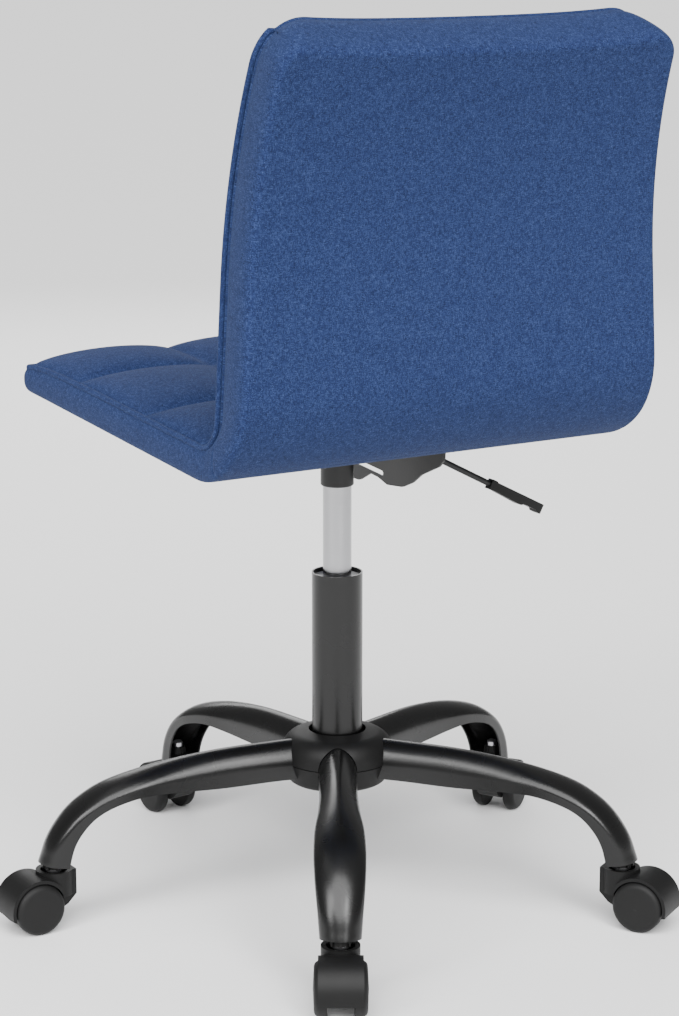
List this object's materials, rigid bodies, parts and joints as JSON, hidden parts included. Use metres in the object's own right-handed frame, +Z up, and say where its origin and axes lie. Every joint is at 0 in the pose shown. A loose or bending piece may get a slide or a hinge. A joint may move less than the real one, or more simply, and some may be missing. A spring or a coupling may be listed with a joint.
{
  "type": "swivel office chair",
  "caption": "Armless swivel desk chair with a tufted blue cloth seat and back, gas height lift with side lever, and a black steel star base on twin-wheel casters.",
  "frame": {"origin": "on the floor, on the vertical axis of the column that the seat turns about", "axes": "+Z up, -Y the way the sitter faces, +X the sitter's left; the release lever is on the sitter's right"},
  "size_m": [0.6584, 0.6502, 0.8789],
  "materials": {
    "blue_linen": "woven linen-look upholstery cloth, mid blue with lighter and darker flecks, over foam",
    "arm_enamel": "satin black stove enamel on pressed steel",
    "cover_plastic": "fine-grained matt black plastic",
    "wheel_plastic": "matt black nylon",
    "handle_plastic": "fine-grained matt black plastic",
    "bush_plastic": "light grey acetal",
    "bright_steel": "bright zinc-plated steel",
    "cylinder_chrome": "hard chrome, finely ground",
    "alloy": "plain machined",
    "buffer_rubber": "black rubber",
    "plate_paint": "black powder coat",
    "birch_plywood": "bare moulded plywood",
    "dust_cloth": "thin black non-woven cloth"
  },
  "bodies": {
    "base": {"hub_core": "arm_enamel", "arm_1": "arm_enamel", "arm_2": "arm_enamel", "arm_3": "arm_enamel", "arm_4": "arm_enamel", "arm_5": "arm_enamel", "stem_sockets": "cover_plastic", "hub_cover_upper": "cover_plastic", "hub_cover_lower": "cover_plastic", "column_tube": "arm_enamel", "guide_bush": "bush_plastic", "bearing_washer_lower": "bright_steel"},
    "lift_rod": {"piston_rod": "bright_steel", "piston_head": "alloy", "bearing_washer_upper": "bright_steel", "bearing_balls": "bright_steel", "bearing_cage": "bush_plastic", "rubber_buffer": "buffer_rubber", "rod_clip": "bright_steel"},
    "seat_unit": {"gas_cylinder": "cylinder_chrome", "rod_guide": "alloy", "valve_body": "alloy", "swivel_socket": "plate_paint", "swivel_bracket": "plate_paint", "swivel_plate": "plate_paint", "seat_bolts": "plate_paint", "t_nuts": "bright_steel", "plywood_shell": "birch_plywood", "seat_cushion": "blue_linen", "back_cushion": "blue_linen", "back_padding": "blue_linen", "dust_cover": "dust_cloth"},
    "pin": {"release_pin": "bright_steel"},
    "lever": {"lever_rod": "plate_paint", "lever_handle": "handle_plastic"},
    "caster_1": {"caster_hood_1": "cover_plastic", "caster_stem_1": "bright_steel", "caster_axle_1": "bright_steel"},
    "wheel_left_1": {"wheel_left_1": "wheel_plastic"},
    "wheel_right_1": {"wheel_right_1": "wheel_plastic"},
    "caster_2": {"caster_hood_2": "cover_plastic", "caster_stem_2": "bright_steel", "caster_axle_2": "bright_steel"},
    "wheel_left_2": {"wheel_left_2": "wheel_plastic"},
    "wheel_right_2": {"wheel_right_2": "wheel_plastic"},
    "caster_3": {"caster_hood_3": "cover_plastic", "caster_stem_3": "bright_steel", "caster_axle_3": "bright_steel"},
    "wheel_left_3": {"wheel_left_3": "wheel_plastic"},
    "wheel_right_3": {"wheel_right_3": "wheel_plastic"},
    "caster_4": {"caster_hood_4": "cover_plastic", "caster_stem_4": "bright_steel", "caster_axle_4": "bright_steel"},
    "wheel_left_4": {"wheel_left_4": "wheel_plastic"},
    "wheel_right_4": {"wheel_right_4": "wheel_plastic"},
    "caster_5": {"caster_hood_5": "cover_plastic", "caster_stem_5": "bright_steel", "caster_axle_5": "bright_steel"},
    "wheel_left_5": {"wheel_left_5": "wheel_plastic"},
    "wheel_right_5": {"wheel_right_5": "wheel_plastic"}
  },
  "joints": [
    {"name": "seat_swivel", "type": "hinge", "parent": "base", "child": "lift_rod", "pos_m": [0, 0, 0.1], "axis": [0, 0, 1], "continuous": true},
    {"name": "seat_height", "type": "slide", "parent": "lift_rod", "child": "seat_unit", "axis": [0, 0, 1], "range_m": [-0.075, 0.045]},
    {"name": "lever_pull", "type": "hinge", "parent": "seat_unit", "child": "lever", "pos_m": [-0.06, 0, 0.46057], "axis": [0, 1, 0], "range_deg": [0, 3], "stiffness_Nm_per_rad": 2, "springref_deg": -5.73},
    {"name": "pin_press", "type": "slide", "parent": "seat_unit", "child": "pin", "axis": [0, 0, 1], "range_m": [-0.0035, 0]},
    {"name": "caster_1_swivel", "type": "hinge", "parent": "base", "child": "caster_1", "pos_m": [0.14655, 0.24978, 0.06], "axis": [0, 0, 1], "continuous": true},
    {"name": "wheel_left_1_roll", "type": "hinge", "parent": "caster_1", "child": "wheel_left_1", "pos_m": [0.1589, 0.27083, 0.025], "axis": [-0.8625, 0.506, 0], "continuous": true},
    {"name": "wheel_right_1_roll", "type": "hinge", "parent": "caster_1", "child": "wheel_right_1", "pos_m": [0.1589, 0.27083, 0.025], "axis": [-0.8625, 0.506, 0], "continuous": true},
    {"name": "caster_2_swivel", "type": "hinge", "parent": "base", "child": "caster_2", "pos_m": [-0.19227, 0.21656, 0.06], "axis": [0, 0, 1], "continuous": true},
    {"name": "wheel_left_2_roll", "type": "hinge", "parent": "caster_2", "child": "wheel_left_2", "pos_m": [-0.20506, 0.23734, 0.025], "axis": [-0.8517, -0.524, 0], "continuous": true},
    {"name": "wheel_right_2_roll", "type": "hinge", "parent": "caster_2", "child": "wheel_right_2", "pos_m": [-0.20506, 0.23734, 0.025], "axis": [-0.8517, -0.524, 0], "continuous": true},
    {"name": "caster_3_swivel", "type": "hinge", "parent": "base", "child": "caster_3", "pos_m": [-0.26538, -0.11594, 0.06], "axis": [0, 0, 1], "continuous": true},
    {"name": "wheel_left_3_roll", "type": "hinge", "parent": "caster_3", "child": "wheel_left_3", "pos_m": [-0.28546, -0.1298, 0.025], "axis": [0.5678, -0.8231, 0], "continuous": true},
    {"name": "wheel_right_3_roll", "type": "hinge", "parent": "caster_3", "child": "wheel_right_3", "pos_m": [-0.28546, -0.1298, 0.025], "axis": [0.5678, -0.8231, 0], "continuous": true},
    {"name": "caster_4_swivel", "type": "hinge", "parent": "base", "child": "caster_4", "pos_m": [0.02826, -0.28822, 0.06], "axis": [0, 0, 1], "continuous": true},
    {"name": "wheel_left_4_roll", "type": "hinge", "parent": "caster_4", "child": "wheel_left_4", "pos_m": [0.03022, -0.31254, 0.025], "axis": [0.9968, 0.0802, 0], "continuous": true},
    {"name": "wheel_right_4_roll", "type": "hinge", "parent": "caster_4", "child": "wheel_right_4", "pos_m": [0.03022, -0.31254, 0.025], "axis": [0.9968, 0.0802, 0], "continuous": true},
    {"name": "caster_5_swivel", "type": "hinge", "parent": "base", "child": "caster_5", "pos_m": [0.28284, -0.06219, 0.06], "axis": [0, 0, 1], "continuous": true},
    {"name": "wheel_left_5_roll", "type": "hinge", "parent": "caster_5", "child": "wheel_left_5", "pos_m": [0.30724, -0.06193, 0.025], "axis": [-0.0105, 0.9999, 0], "continuous": true},
    {"name": "wheel_right_5_roll", "type": "hinge", "parent": "caster_5", "child": "wheel_right_5", "pos_m": [0.30724, -0.06193, 0.025], "axis": [-0.0105, 0.9999, 0], "continuous": true}
  ],
  "couplings": [
    {"joint": "pin_press", "follows": "lever_pull", "m_per_rad": -0.06}
  ]
}
